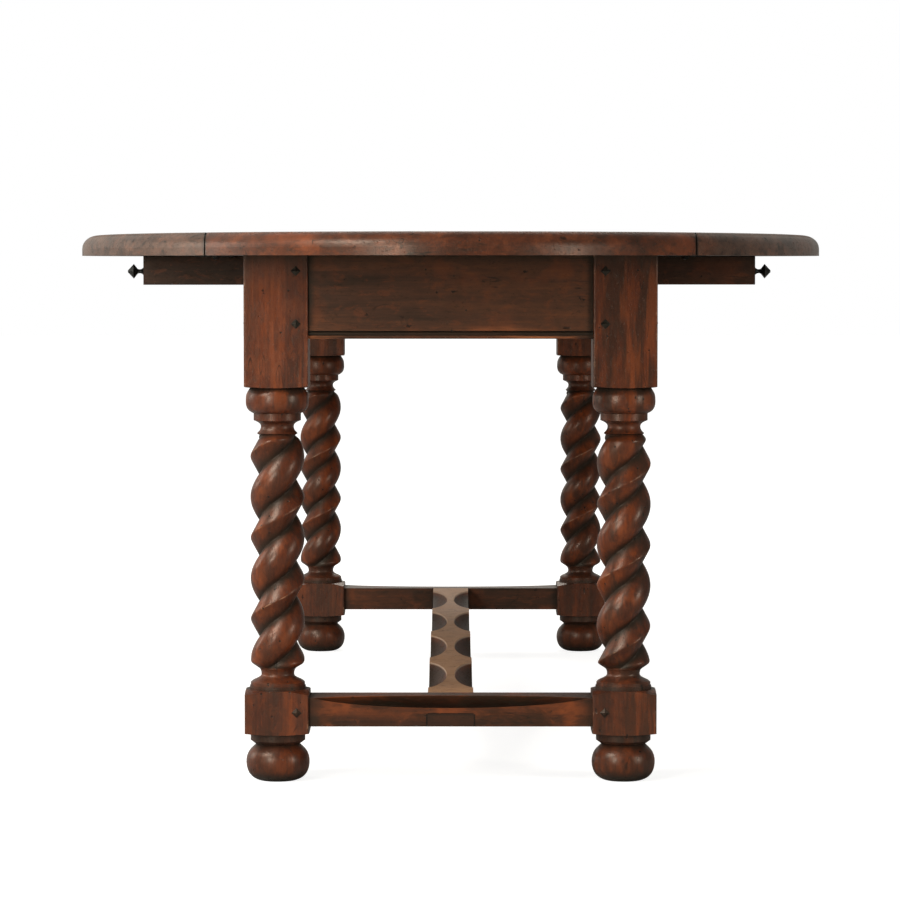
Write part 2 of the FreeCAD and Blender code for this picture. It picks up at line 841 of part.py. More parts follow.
def brace_screws(play):
    """The screws that run through the brace into the leg's inner corner."""
    diagonal = Vector(-1, -1, 0).normalize()
    face = Vector(leg_inner_x, leg_inner_y, 0) + diagonal * (brace_gap + brace_thickness)
    middle = underside - button_tongue_drop - brace_height / 2
    plain = screw(brace_screw_length, brace_screw_head, brace_screw_radius, play)
    pair = []
    for side in (-1, 1):
        spot = Vector(face.x, face.y, middle + side * brace_screw_spacing / 2)
        pair.append(stand(plain, spot, diagonal))
    return pair


def to_corner(solid, side, end):
    """Mirror a piece of the rear right corner into another corner."""
    placed = solid
    if side < 0:
        placed = placed.mirror(Vector(0, 0, 0), Vector(1, 0, 0))
    if end < 0:
        placed = placed.mirror(Vector(0, 0, 0), Vector(0, 1, 0))
    return placed


drilled_brace = brace().cut(Part.makeCompound(brace_screws(screw_play)))
corner_blocks = [to_corner(drilled_brace, *corner) for corner in corners]
corner_block_screws = [to_corner(piece, *corner) for corner in corners for piece in brace_screws(0)]
brace_holes = [to_corner(piece, *corner) for corner in corners for piece in brace_screws(screw_play)]

# Hinges
# Iron butt hinges lie under the top, four to a leaf. Each fixed plate has two knuckles and
# the leaf's plate one between them, on a loose pin just under the joint.
hinge_place_shares = [-0.814, -0.271, 0.271, 0.814]
hinge_length = 60.0
hinge_plate_width = 28.0
hinge_plate_thickness = 2.0
hinge_knuckle_radius = 2.9
hinge_middle_length = 24.0
hinge_knuckle_gap = 0.3
hinge_pin_radius = 1.5
hinge_pin_play = 0.06
hinge_pin_drop = 3.0
hinge_screw_spacing = 40.0
hinge_screw_radius = 1.8
hinge_screw_head = 3.5
hinge_screw_length = 17.0
hinge_screw_out_share = 0.6

hinge_places = [share * leg_y for share in hinge_place_shares]
hinge_x = fixed_half + leaf_gap / 2
hinge_z = underside - hinge_pin_drop


def hinge_half(outward, spans):
    """A plate that lies outward (1) or inward (-1) of the right-hand pin, with its knuckles."""
    root = hinge_pin_radius + hinge_pin_play
    plate = board(
        (outward * root, -hinge_length / 2, underside - hinge_plate_thickness),
        (outward * hinge_plate_width, hinge_length / 2, underside),
    )
    room = board(
        (-hinge_knuckle_radius - hinge_knuckle_gap, -hinge_length / 2, hinge_z - hinge_knuckle_radius),
        (hinge_knuckle_radius + hinge_knuckle_gap, hinge_length / 2, underside),
    )
    pieces = [plate.cut(room)]
    for low, high in spans:
        start = Vector(0, low, hinge_z)
        knuckle = Part.makeCylinder(hinge_knuckle_radius, high - low, start, along_table)
        bore = Part.makeCylinder(root, high - low, start, along_table)
        web_foot = underside - hinge_plate_thickness
        web = board((0, low, web_foot), (outward * hinge_plate_width / 2, high, underside))
        pieces.append(knuckle.fuse(web).cut(bore))
    half = join(pieces)
    return half.cut(Part.makeCompound(hinge_screws(outward, screw_play)))


def hinge_screws(outward, play):
    """The two screws of a plate, driven up into the wood."""
    across = outward * hinge_plate_width * hinge_screw_out_share
    plain = screw(hinge_screw_length, hinge_screw_head, hinge_screw_radius, play)
    pair = []
    for end in (-1, 1):
        spot = Vector(across, end * hinge_screw_spacing / 2, underside - hinge_plate_thickness)
        pair.append(stand(plain, spot, -up))
    return pair


def at_hinges(piece, side):
    """Copies of a right-hand hinge piece along one leaf."""
    copies = []
    for place in hinge_places:
        copy = piece.translated(Vector(hinge_x, place, 0))
        copies.append(copy if side > 0 else copy.mirror(Vector(0, 0, 0), Vector(1, 0, 0)))
    return copies


middle_half = hinge_middle_length / 2
outer_start = middle_half + hinge_knuckle_gap
outer_spans = [(-hinge_length / 2, -outer_start), (outer_start, hinge_length / 2)]
fixed_plate = hinge_half(-1, outer_spans)
leaf_plate = hinge_half(1, [(-middle_half, middle_half)])
hinge_pin_start = Vector(0, -hinge_length / 2, hinge_z)
hinge_pin = Part.makeCylinder(hinge_pin_radius, hinge_length, hinge_pin_start, along_table)


def screws_along(outward, side, play):
    return [copy for piece in hinge_screws(outward, play) for copy in at_hinges(piece, side)]


# Fit the pieces together
leg_holes = mortises + [turn_half(block) for block in mortises] + peg_holes + brace_holes
foot_hole = Part.makeCylinder(
    foot_dowel_radius + foot_dowel_play, foot_dowel_length + tenon_end_play, Vector(0, 0, foot_height)
)
legs = {}
feet = {}
for corner in corners:
    place = Vector(corner[0] * leg_x, corner[1] * leg_y, 0)
    leg = plain_leg(twist_start_turns[corner]).cut(foot_hole).translated(place)
    legs[corner] = leg.cut(Part.makeCompound(leg_holes))
    feet[corner] = foot().translated(place)

apron_cuts = Part.makeCompound(slots + peg_holes)
end_apron_front = front_apron.cut(apron_cuts).cut(rail_tongue)
end_apron_rear = turn_half(end_apron_front)
left_paths = [loper_box(-1, loper_places[(-1, end)], 0, table_width / 2, loper_gap) for end in (-1, 1)]
side_apron_left = left_apron.cut(apron_cuts).cut(Part.makeCompound(left_paths))
side_apron_right = turn_half(side_apron_left)
end_stretcher_front = end_stretcher.cut(Part.makeCompound(peg_holes + lap_holes))
end_stretcher_rear = turn_half(end_stretcher_front)
long_stretcher = long_stretcher.cut(Part.makeCompound(lap_holes))
fixed_holes = screws_along(-1, -1, screw_play) + screws_along(-1, 1, screw_play) + button_holes
top_center = top_center.cut(Part.makeCompound(fixed_holes))
for side in (-1, 1):
    leaves[side] = leaves[side].cut(Part.makeCompound(screws_along(1, side, screw_play)))

# Write the nodes
os.makedirs("parts", exist_ok=True)
save("top_center", [top_center])
save("leaf_left", [leaves[-1]])
save("leaf_right", [leaves[1]])
for corner in corners:
    save("leg_" + corner_names[corner], [legs[corner]])
    save("bun_foot_" + corner_names[corner], [feet[corner]])
    save("loper_" + corner_names[corner], [loper(corner[0], loper_places[corner])])
    save("loper_knob_" + corner_names[corner], [stand(knob(), *knob_seat(corner[0], loper_places[corner]))])
    save("loper_stops_" + corner_names[corner], stop_dowels(corner[0], loper_places[corner], 0))
save("end_apron_front", [end_apron_front])
save("end_apron_rear", [end_apron_rear])
save("side_apron_left", [side_apron_left])
save("side_apron_right", [side_apron_right])
save("center_rail", [center_rail])
save("end_stretcher_front", [end_stretcher_front])
save("end_stretcher_rear", [end_stretcher_rear])
save("long_stretcher", [long_stretcher])
save("end_apron_pegs", end_apron_pegs)
save("side_apron_pegs", side_apron_pegs)
save("stretcher_pegs", stretcher_pegs)
save("lap_pegs", lap_pegs)
save("corner_blocks", corner_blocks)
save("corner_block_screws", corner_block_screws)
save("top_buttons", top_buttons)
save("top_button_screws", top_button_screws)
for side, word in ((-1, "left"), (1, "right")):
    save("fixed_hinge_plates_" + word, at_hinges(fixed_plate, side))
    save("leaf_hinge_plates_" + word, at_hinges(leaf_plate, side))
    save("hinge_pins_" + word, at_hinges(hinge_pin, side))
    save("leaf_hinge_screws_" + word, screws_along(1, side, 0))
save("fixed_hinge_screws", screws_along(-1, -1, 0) + screws_along(-1, 1, 0))
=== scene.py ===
import math

import bmesh
import bpy
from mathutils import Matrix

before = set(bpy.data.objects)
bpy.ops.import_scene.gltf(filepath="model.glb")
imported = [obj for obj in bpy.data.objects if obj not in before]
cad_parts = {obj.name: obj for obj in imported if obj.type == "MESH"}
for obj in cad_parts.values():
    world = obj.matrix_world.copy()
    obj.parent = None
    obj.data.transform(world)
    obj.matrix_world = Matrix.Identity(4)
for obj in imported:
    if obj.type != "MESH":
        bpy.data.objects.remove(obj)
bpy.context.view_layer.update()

# Legs and feet
# Four posts of mahogany, squared at top and bottom, turned into buns and hollows and carved
# by hand into a two-strand twist. A flattened ball foot is glued under each. The posts are
# stained red-brown, waxed, and rubbed pale on the crests, with dark wax left in the hollows.
# The pale line along the ridges also carries a painted highlight, and painted shade darkens
# the corners, the sunk bands and the heads under the top.


class Stain:
    """One value of a finish. Sums of these add the finish's Math nodes."""

    def __init__(self, tree, socket):
        self.tree = tree
        self.socket = socket

    def node(self, kind, inputs, output=0, stops=None, **settings):
        made = self.tree.nodes.new(kind)
        for name, value in settings.items():
            setattr(made, name, value)
        if stops:
            ramp = made.color_ramp.elements
            while len(ramp) < len(stops):
                ramp.new(0.5)
            for element, (position, color) in zip(ramp, stops):
                element.position = position
                element.color = (*color, 1)
        for name, value in inputs.items():
            if isinstance(value, Stain):
                self.tree.links.new(value.socket, made.inputs[name])
            elif isinstance(value, tuple) and made.inputs[name].type == "RGBA":
                made.inputs[name].default_value = (*value, 1)
            else:
                made.inputs[name].default_value = value
        return Stain(self.tree, made.outputs[output])

    def math(self, operation, *values):
        return self.node("ShaderNodeMath", dict(enumerate(values)), operation=operation)

    def __add__(self, other):
        return self.math("ADD", self, other)

    __radd__ = __add__

    def __mul__(self, other):
        return self.math("MULTIPLY", self, other)

    def __sub__(self, other):
        return self.math("SUBTRACT", self, other)

    def __rsub__(self, other):
        return self.math("SUBTRACT", other, self)

    def __truediv__(self, other):
        return self.math("DIVIDE", self, other)

    def __abs__(self):
        return self.math("ABSOLUTE", self)

    def __gt__(self, other):
        return self.math("GREATER_THAN", self, other)

    def __lt__(self, other):
        return self.math("LESS_THAN", self, other)


def rise(value, low, high):
    """0 below low, 1 above high and smooth between."""
    inputs = {0: value, 1: low, 2: high, 3: 0.0, 4: 1.0}
    return value.node("ShaderNodeMapRange", inputs, interpolation_type="SMOOTHSTEP")


def fall(value, low, high):
    """1 below low, 0 above high and smooth between."""
    return 1 - rise(value, low, high)


def band(value, low, high, soft=0.001):
    """1 between low and high and 0 outside."""
    return rise(value, low - soft, low + soft) * fall(value, high - soft, high + soft)


def most(mask, *others):
    """The strongest of several masks at each point."""
    for other in others:
        mask = mask.math("MAXIMUM", mask, other)
    return mask


def brushed(under, over, amount):
    """One colour brushed over another by a mask."""
    inputs = {0: amount, 6: under, 7: over}
    return amount.node("ShaderNodeMix", inputs, output=2, data_type="RGBA")


def toned(pattern, tones):
    """The colour that a list of tones gives for a pattern, from dark to pale."""
    return pattern.node("ShaderNodeValToRGB", {0: pattern}, stops=tones)


def split(place):
    """The three numbers of a place, one for each axis."""
    return [place.node("ShaderNodeSeparateXYZ", {0: place}, output=axis) for axis in range(3)]


def length(vector):
    return vector.node("ShaderNodeVectorMath", {0: vector}, output=1, operation="LENGTH")


def start_finish(name):
    """A new finish: its shader, and the place on the object that its patterns read."""
    finish = bpy.data.materials.new(name)
    finish.use_nodes = True
    tree = finish.node_tree
    place = Stain(tree, tree.nodes.new("ShaderNodeTexCoord").outputs["Object"])
    return finish, tree.nodes["Principled BSDF"], place


def feed(shader, socket, value):
    """Let a pattern or a colour vary one socket of a shader."""
    value.tree.links.new(value.socket, shader.inputs[socket])


def polish(shader, level, coat=0.0, coat_rough=0.03):
    """Amber wax: how strongly it shines, and a thin hard coat where there is one."""
    shader.inputs["Specular IOR Level"].default_value = level
    shader.inputs["Specular Tint"].default_value = amber
    shader.inputs["Coat Weight"].default_value = coat
    shader.inputs["Coat Roughness"].default_value = coat_rough


def emboss(shader, height, strength, depth):
    """Raise and sink the surface by a pattern."""
    inputs = {"Strength": strength, "Distance": depth, "Height": height}
    feed(shader, "Normal", height.node("ShaderNodeBump", inputs))


crosswise, lengthwise, upright = 0, 1, 2


def drawn_out(along, pull):
    """A stretch that lengthens marks along one axis: the smaller the pull, the longer."""
    return tuple(pull if axis == along else 1.0 for axis in range(3))


def cloud(place, scale, detail=3.0, rough=0.55, bend=0.0, stretch=(1, 1, 1), shift=(0, 0, 0)):
    """Soft random patches, stretched along the grain."""
    spot = place.node("ShaderNodeMapping", {"Vector": place, "Scale": stretch, "Location": shift})
    inputs = {"Vector": spot, "Scale": scale, "Detail": detail}
    inputs.update({"Roughness": rough, "Distortion": bend})
    return place.node("ShaderNodeTexNoise", inputs)


def cells(place, scale, stretch):
    """Points scattered at random: how far off the nearest is, and its own lot from 0 to 1."""
    spot = place.node("ShaderNodeMapping", {"Vector": place, "Scale": stretch})
    inputs = {"Vector": spot, "Scale": scale}
    distance = place.node("ShaderNodeTexVoronoi", inputs)
    tint = place.node("ShaderNodeTexVoronoi", inputs, output=1)
    return distance, place.node("ShaderNodeSeparateColor", {0: tint})


def specks(place, scale, size, share, stretch=(1, 1, 1)):
    """Scattered small marks: 1 inside each, 0 elsewhere."""
    distance, lot = cells(place, scale, stretch)
    return fall(distance, size * 0.55, size) * (lot < share)


def knocks(place, along):
    """Black dents and chips a few millimetres long, with ragged edges."""
    ragged = cloud(place, 420.0, rough=0.75) * 0.34
    distance, lot = cells(place, 45.0, drawn_out(along, 0.5))
    return fall(distance + ragged, 0.225, 0.245) * (lot < 0.7)


def cracks(place, along, scale=20.0):
    """Thin dark checks that follow the grain, here and there."""
    pulled = drawn_out(along, 0.14)
    wavy = cloud(place, scale * 1.6, detail=2.0, rough=0.5, bend=0.3, stretch=pulled)
    here = rise(cloud(place, scale, detail=2.0, rough=0.5, shift=(3, 1, 2)), 0.53, 0.60)
    return fall(abs(wavy - 0.5), 0.0015, 0.0065) * here


def wax_and_shade_in_corners(place, reach, low):
    """1 deep in a corner, where old wax gathers and shade is painted from ambient occlusion, and 0
    in the open.
    """
    open_air = place.node("ShaderNodeAmbientOcclusion", {"Distance": reach}, output=1, samples=6)
    return fall(open_air, low, 0.95)


def timber(place, along, tones):
    """The wood's own colour, its fibres and its streaks, for grain that runs along one axis."""
    streaks = cloud(place, 42.0, detail=4.0, rough=0.6, bend=0.6, stretch=drawn_out(along, 0.07))
    bands = cloud(place, 13.0, detail=2.0, rough=0.5, bend=0.4, stretch=drawn_out(along, 0.2))
    fibres = cloud(place, 330.0, detail=2.0, rough=0.7, stretch=drawn_out(along, 0.035))
    figure = streaks * 0.50 + bands * 0.30 + fibres * 0.20
    return toned(figure, tones), fibres, streaks


def aged(place, along, color, depth):
    """Wax and stain worn unevenly: smoky and red patches a few millimetres wide, and pores."""
    pulled = drawn_out(along, 0.45)
    mottle = cloud(place, 92.0, detail=5.0, rough=0.68, bend=0.6, stretch=pulled)
    color = brushed(color, smoke_and_shade, rise(mottle, 0.50, 0.62) * (0.62 * depth))
    color = brushed(color, rubbed_red, fall(mottle, 0.36, 0.47) * (0.42 * depth))
    pores = rise(cloud(place, 300.0, rough=0.75, bend=0.4, stretch=pulled), 0.585, 0.655)
    color = brushed(color, old_wax_and_shade, pores * (0.75 * depth))
    return color, mottle, pores


post_tones = [
    (0.37, (0.034, 0.012, 0.007)),
    (0.46, (0.074, 0.019, 0.009)),
    (0.54, (0.120, 0.028, 0.010)),
    (0.65, (0.21, 0.046, 0.012)),
]
old_wax_and_shade = (0.009, 0.008, 0.005)
hole_black = (0.004, 0.003, 0.002)
rubbed_pale_and_highlight = (0.34, 0.175, 0.100)
rubbed_red = (0.27, 0.062, 0.016)
smoke_and_shade = (0.032, 0.015, 0.009)
amber = (1.0, 0.83, 0.70, 1)

leg_across = 0.245
leg_along = 0.8855
foot_ball_top = 0.0513
low_square_foot = 0.0675
low_square_top = 0.130
ring_foot = 0.1348
twist_foot = 0.1582
twist_head = 0.4925
twist_lead = 0.1151
twist_start = {"front_left": 0.391, "front_right": 0.964, "rear_left": 0.381, "rear_right": 0.394}
striped_posts = {"front_left": 0.0, "front_right": 1.0, "rear_left": 0.4, "rear_right": 0.6}
round_strand = 0.54
groove_reach = (0.0245, 0.0335)
crest_reach = (0.029, 0.038)
arris_reach = (0.0868, 0.0885)
darker_towards_foot = (0.12, 0.19)
shadow_under_top = (0.690, 0.742)


def post_finish(corner, start, striped):
    """The wax and painted shade of one post. Its twist starts at its own angle, and some are more
    striped.
    """
    side = -1 if "left" in corner else 1
    end = -1 if "front" in corner else 1
    finish, shader, place = start_finish("waxed_post_" + corner)
    x, y, z = split(place)
    across = x - side * leg_across
    along = y - end * leg_along
    reach = length(place.node("ShaderNodeCombineXYZ", {0: across, 1: along}))
    turn = place.math("ARCTAN2", along, across) / math.tau
    climb = (z - twist_foot) / twist_lead
    strand = place.math("FRACT", turn - climb + (round_strand / 2 - start + 2))
    in_twist = rise(z, twist_foot, twist_foot + 0.004) * fall(z, twist_head - 0.004, twist_head)

    color, fibres, streaks = timber(place, upright, post_tones)
    color, mottle, pores = aged(place, upright, color, 0.5)
    patches = cloud(place, 24.0, rough=0.6)
    crest = rise(reach, *crest_reach) * in_twist
    color = brushed(color, rubbed_red, rise(patches, 0.49, 0.66) * (0.20 + crest * 0.32))
    stripes = cloud(place, 34.0, rough=0.6, bend=0.9, stretch=(1, 1, 0.13))
    color = brushed(color, smoke_and_shade, rise(stripes, 0.44, 0.60) * (0.30 + 0.40 * striped))
    glowing = cloud(place, 46.0, rough=0.6, bend=0.4, stretch=(1, 1, 0.10), shift=(5, 2, 0))
    glowing = rise(glowing, 0.52, 0.64) * 0.42
    color = brushed(color, rubbed_red, glowing * rise(z, twist_head, twist_head + 0.06))
    # Painted shadow of the top: the squared head darkens towards the top.
    color = brushed(color, smoke_and_shade, rise(z, *shadow_under_top) * 0.55)
    # Darker towards the bottom, more on the more striped posts.
    color = brushed(color, smoke_and_shade, fall(z, *darker_towards_foot) * (0.06 + 0.24 * striped))

    # Dark wax in the twist's grooves; wax and painted shade in the corners and in the sunk bands of
    # the foot collar and ring step.
    groove = fall(reach, *groove_reach) * in_twist
    shade = wax_and_shade_in_corners(place, 0.028, 0.25)
    sunk = most(band(z, foot_ball_top, low_square_foot), band(z, low_square_top, ring_foot))
    wax_and_shade = most(groove * 0.9, shade * 0.92, sunk * 0.6)
    color = brushed(color, old_wax_and_shade, wax_and_shade)

    # A pale line along the ridge strand's crest, worn and with a painted highlight; pale chips on
    # the arrises.
    ridge = fall(abs(strand - (1 + round_strand) / 2), 0.003, 0.011)
    broken = rise(cloud(place, 60.0, detail=4.0, rough=0.7), 0.48, 0.64)
    arris = rise(abs(across) + abs(along), *arris_reach)
    nicks = rise(cloud(place, 45.0, detail=5.0, rough=0.75), 0.54, 0.66)
    pale = most(ridge * broken * in_twist * 0.65, arris * nicks * 0.6)
    color = brushed(color, rubbed_pale_and_highlight, pale)

    holes = specks(place, 74.0, size=0.13, share=0.50)
    dents = specks(place, 44.0, size=0.10, share=0.38, stretch=(1, 1, 0.35))
    checks = cracks(place, upright) * (1 - in_twist)
    struck = knocks(place, upright)
    marks = most(holes, struck, dents * 0.85, checks * 0.7)
    color = brushed(color, hole_black, marks * 0.9)

    polish(shader, 0.42, coat=0.06, coat_rough=0.24)
    feed(shader, "Base Color", color)
    feed(shader, "Roughness", 0.20 + patches * 0.16 + mottle * 0.14 + wax_and_shade * 0.25 + pores * 0.2)
    lumps = cloud(place, 36.0, rough=0.5)
    height = lumps * 1.3 + mottle * 0.25 + fibres * 0.05 + streaks * 0.08
    height = height - holes * 0.9 - dents * 1.1 - struck * 1.6 - pores * 0.12
    emboss(shader, height, 0.55, 0.0016)
    return finish


def dress(node, finish):
    """Give a solid of the frame its finish."""
    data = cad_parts[node].data
    data.materials.clear()
    data.materials.append(finish)


for corner, start in twist_start.items():
    finish = post_finish(corner, start, striped_posts[corner])
    dress("leg_" + corner, finish)
    dress("bun_foot_" + corner, finish)

# Aprons
# Four boards tenoned into the posts. The lower outer edge is moulded: a quirk and bead above a
# rounded lip. The quirk is darkened with wax and painted shade; the lip is rubbed to orange, with a
# painted highlight.
apron_tones = [
    (0.37, (0.030, 0.015, 0.009)),
    (0.46, (0.060, 0.025, 0.014)),
    (0.55, (0.086, 0.033, 0.016)),
    (0.67, (0.13, 0.044, 0.018)),
]
rubbed_orange_and_highlight = (0.52, 0.165, 0.058)
dent_black = (0.005, 0.004, 0.003)


def rail_finish(name, along, tones, glow=0.22, gloss=0.36, shine=0.32):
    """A waxed board: colour, wax and painted shade in its corners, holes and dents. Its colour can
    be worked on.
    """
    finish, shader, place = start_finish(name)
    color, fibres, streaks = timber(place, along, tones)
    color, mottle, pores = aged(place, along, color, 0.42)
    patches = cloud(place, 16.0, rough=0.6)
    color = brushed(color, rubbed_red, rise(patches, 0.50, 0.68) * glow)
    # Wax and painted shade in the board's corners.
    wax_and_shade = wax_and_shade_in_corners(place, 0.022, 0.35) * 0.92
    color = brushed(color, old_wax_and_shade, wax_and_shade)
    holes = specks(place, 50.0, size=0.09, share=0.35)
    dents = specks(place, 36.0, size=0.09, share=0.25, stretch=drawn_out(along, 0.35))
    struck = knocks(place, along)
    marks = most(holes, struck, dents * 0.8, cracks(place, along) * 0.8)
    color = brushed(color, dent_black, marks * 0.9)
    polish(shader, shine)
    feed(shader, "Roughness", gloss + patches * 0.16 + wax_and_shade * 0.2 + pores * 0.2)
    lumps = cloud(place, 22.0, detail=2.0, rough=0.5)
    height = lumps * 0.8 + mottle * 0.25 + fibres * 0.10 + streaks * 0.10
    height = height - holes * 0.9 - dents * 1.1 - struck * 1.4 - pores * 0.15
    emboss(shader, height, 0.5, 0.0014)
    return finish, shader, place, color


apron_foot = 0.626
lip_top = (apron_foot + 0.0040, apron_foot + 0.0048)
quirk_foot = (apron_foot + 0.0046, apron_foot + 0.0052)
quirk_top = (apron_foot + 0.0108, apron_foot + 0.0116)
bead_foot = (apron_foot + 0.0112, apron_foot + 0.012)
bead_top = (apron_foot + 0.015, apron_foot + 0.022)
post_edge = (0.200, 0.8405)


def apron_finish(name, along):
    """A board's finish, with painted shadow by the posts and its lower edge picked out."""
    finish, shader, place, color = rail_finish(name, along, apron_tones)
    x, y, z = split(place)
    out = abs(x if along == crosswise else y)
    # Painted shadow: the board darkens towards the posts at its ends.
    by_posts = rise(out, post_edge[along] - 0.012, post_edge[along] - 0.002)
    color = brushed(color, old_wax_and_shade, by_posts * 0.7)
    streaky = cloud(place, 60.0, detail=4.0, rough=0.7, stretch=drawn_out(along, 0.07))
    # The lip is rubbed orange with a painted highlight, and the bead takes a little of it.
    lip = fall(z, *lip_top)
    bead = rise(z, *bead_foot) * fall(z, *bead_top)
    rubbed_and_highlit = (lip * 0.95 + bead * 0.2) * rise(streaky, 0.42, 0.62)
    color = brushed(color, rubbed_orange_and_highlight, rubbed_and_highlit)
    # Wax and painted shade in the quirk.
    quirk = rise(z, *quirk_foot) * fall(z, *quirk_top)
    feed(shader, "Base Color", brushed(color, old_wax_and_shade, quirk * 0.85))
    return finish


end_apron_wood = apron_finish("waxed_end_apron", crosswise)
side_apron_wood = apron_finish("waxed_side_apron", lengthwise)
dress("end_apron_front", end_apron_wood)
dress("end_apron_rear", end_apron_wood)
dress("side_apron_left", side_apron_wood)
dress("side_apron_right", side_apron_wood)

# Stretchers
# Two end rails and one long rail lapped up into them from below. Feet have worn hollows into
# their top edges, with pale rims and painted shade inside, and have rubbed the long rail's top
# grey, which is painted paler still as sheen.
stretcher_tones = [
    (0.37, (0.023, 0.011, 0.007)),
    (0.46, (0.048, 0.017, 0.009)),
    (0.55, (0.076, 0.023, 0.010)),
    (0.67, (0.145, 0.037, 0.012)),
]
hollow_shade_black = (0.007, 0.003, 0.0015)
gap_shade_black = (0.003, 0.002, 0.0015)
trodden_grey_and_sheen = (0.37, 0.20, 0.105)
pale_rim = (0.42, 0.29, 0.21)
bowl_shade_brown = (0.022, 0.011, 0.006)
scuff_brown = (0.012, 0.008, 0.005)
end_grain_brown = (0.030, 0.016, 0.011)

stretcher_top = 0.120
stretcher_foot = 0.080
stretcher_face = 0.9245
stretcher_back = 0.8525
lap_half = 0.0325
lap_top = 0.0974
lap_end = 0.9236
darker_by_posts = (0.172, 0.199)


def end_stretcher_finish():
    """An end rail: its worn hollow and the line round the lap are blackened with painted shade."""
    made = rail_finish("waxed_end_stretcher", crosswise, stretcher_tones, glow=0.5)
    finish, shader, place, color = made
    x, y, z = split(place)
    depth = stretcher_top - z
    # Painted shade inside the worn hollow, darker where it is deeper.
    hollow = rise(stretcher_face - abs(y), 0.0002, 0.0016) * rise(depth, 0.0002, 0.0014)
    hollow = hollow * (abs(y) > stretcher_back + 0.003) * (z > stretcher_foot + 0.0015)
    deep = rise(depth, 0.001, 0.013)
    color = brushed(color, hollow_shade_black, hollow * (0.72 + deep * 0.27))
    # Darker near the posts, and darker over the whole rear rail.
    by_posts = rise(abs(x), *darker_by_posts)
    at_rear = y > 0
    color = brushed(color, smoke_and_shade, most(by_posts * 0.75, at_rear * 0.3))
    shift = (2, 0, 1)
    trodden = cloud(place, 30.0, detail=4.0, rough=0.7, bend=0.3, stretch=(0.35, 1, 1), shift=shift)
    color = brushed(color, old_wax_and_shade, rise(trodden, 0.50, 0.60) * 0.5)
    # Painted shade in the gap round the lap.
    beside = abs(abs(x) - lap_half) < 0.0022
    over = abs(z - lap_top) < 0.0016
    around = most(beside * (z < lap_top), over * (abs(x) < lap_half))
    feed(shader, "Base Color", brushed(color, gap_shade_black, around * 0.95))
    return finish


def long_stretcher_finish():
    """The long rail: a trodden top painted paler as sheen, pale rims to its hollows with painted
    shade inside, and dark end grain.
    """
    made = rail_finish(
        "trodden_long_stretcher", lengthwise, stretcher_tones, glow=0.3, gloss=0.50, shine=0.22
    )
    finish, shader, place, color = made
    x, y, z = split(place)
    depth = stretcher_top - z
    on_top = fall(depth, 0.0002, 0.0012) * (abs(x) < lap_half + 0.0001)
    left_dark = rise(cloud(place, 70.0, detail=4.0, rough=0.7), 0.50, 0.66)
    # The trodden top: rubbed grey, and painted paler as sheen.
    color = brushed(color, trodden_grey_and_sheen, on_top * (0.95 - left_dark * 0.35))
    inside = abs(x) < lap_half - 0.0002
    rim = rise(depth, 0.0001, 0.0005) * fall(depth, 0.0008, 0.0034) * inside
    color = brushed(color, pale_rim, rim * 0.85)
    # Painted shade inside the hollows, darker towards the rail's sides.
    bowl = rise(depth, 0.0015, 0.010) * inside * (z > stretcher_top - 0.025)
    outward = rise(abs(x), 0.012, lap_half)
    color = brushed(color, bowl_shade_brown, bowl * (0.55 + outward * 0.40))
    scuffs = most(knocks(place, lengthwise), specks(place, 62.0, size=0.10, share=0.6))
    color = brushed(color, scuff_brown, scuffs * 0.8)
    end_grain = abs(y) > lap_end
    feed(shader, "Base Color", brushed(color, end_grain_brown, end_grain * 0.85))
    return finish


end_stretcher_wood = end_stretcher_finish()
dress("end_stretcher_front", end_stretcher_wood)
dress("end_stretcher_rear", end_stretcher_wood)
dress("long_stretcher", long_stretcher_finish())

# Pegs
# Every tenon is pinned with a peg, its head cut to a low point. The pegs of the aprons are
# black with smoke and wax, those of the stretchers brown like the wood round them.
black_peg_tones = [
    (0.35, (0.008, 0.008, 0.006)),
    (0.60, (0.022, 0.020, 0.015)),
    (0.75, (0.05, 0.045, 0.035)),
]
brown_peg_tones = [
    (0.35, (0.014, 0.009, 0.006)),
    (0.60, (0.034, 0.018, 0.011)),
    (0.75, (0.06, 0.026, 0.014)),
]


def peg_finish(name, tones):
    finish, shader, place = start_finish(name)
    mottle = cloud(place, 240.0, rough=0.6)
    polish(shader, 0.3)
    feed(shader, "Base Color", toned(mottle, tones))
    feed(shader, "Roughness", 0.34 + mottle * 0.25)
    emboss(shader, mottle, 0.6, 0.0006)
    return finish


peg_black = peg_finish("blackened_pegs", black_peg_tones)
peg_brown = peg_finish("smoked_pegs", brown_peg_tones)
for node in ("end_apron_pegs", "side_apron_pegs"):
    dress(node, peg_black)
for node in ("stretcher_pegs", "lap_pegs"):
    dress(node, peg_brown)

# Inner rail, corner blocks and buttons
# Plain stained softwood under the top, sawn and left unpolished. The rail runs lengthways and
# guides the lopers. The blocks are glued and screwed inside the corners of the aprons, and
# the buttons hold the top to the aprons.
inner_tones = [
    (0.34, (0.045, 0.026, 0.016)),
    (0.48, (0.085, 0.048, 0.028)),
    (0.66, (0.15, 0.088, 0.050)),
]
dusty_wax_and_shade = (0.02, 0.014, 0.010)


def sawn_finish(name, along):
    finish, shader, place = start_finish(name)
    color, fibres, streaks = timber(place, along, inner_tones)
    # Dusty wax and painted shade in the corners.
    feed(shader, "Base Color", brushed(color, dusty_wax_and_shade, wax_and_shade_in_corners(place, 0.02, 0.3) * 0.7))
    feed(shader, "Roughness", 0.6 + fibres * 0.25)
    emboss(shader, fibres + streaks * 0.4, 0.5, 0.0008)
    return finish


dress("center_rail", sawn_finish("sawn_rail", lengthwise))
blocks_wood = sawn_finish("sawn_blocks", crosswise)
dress("corner_blocks", blocks_wood)
dress("top_buttons", blocks_wood)

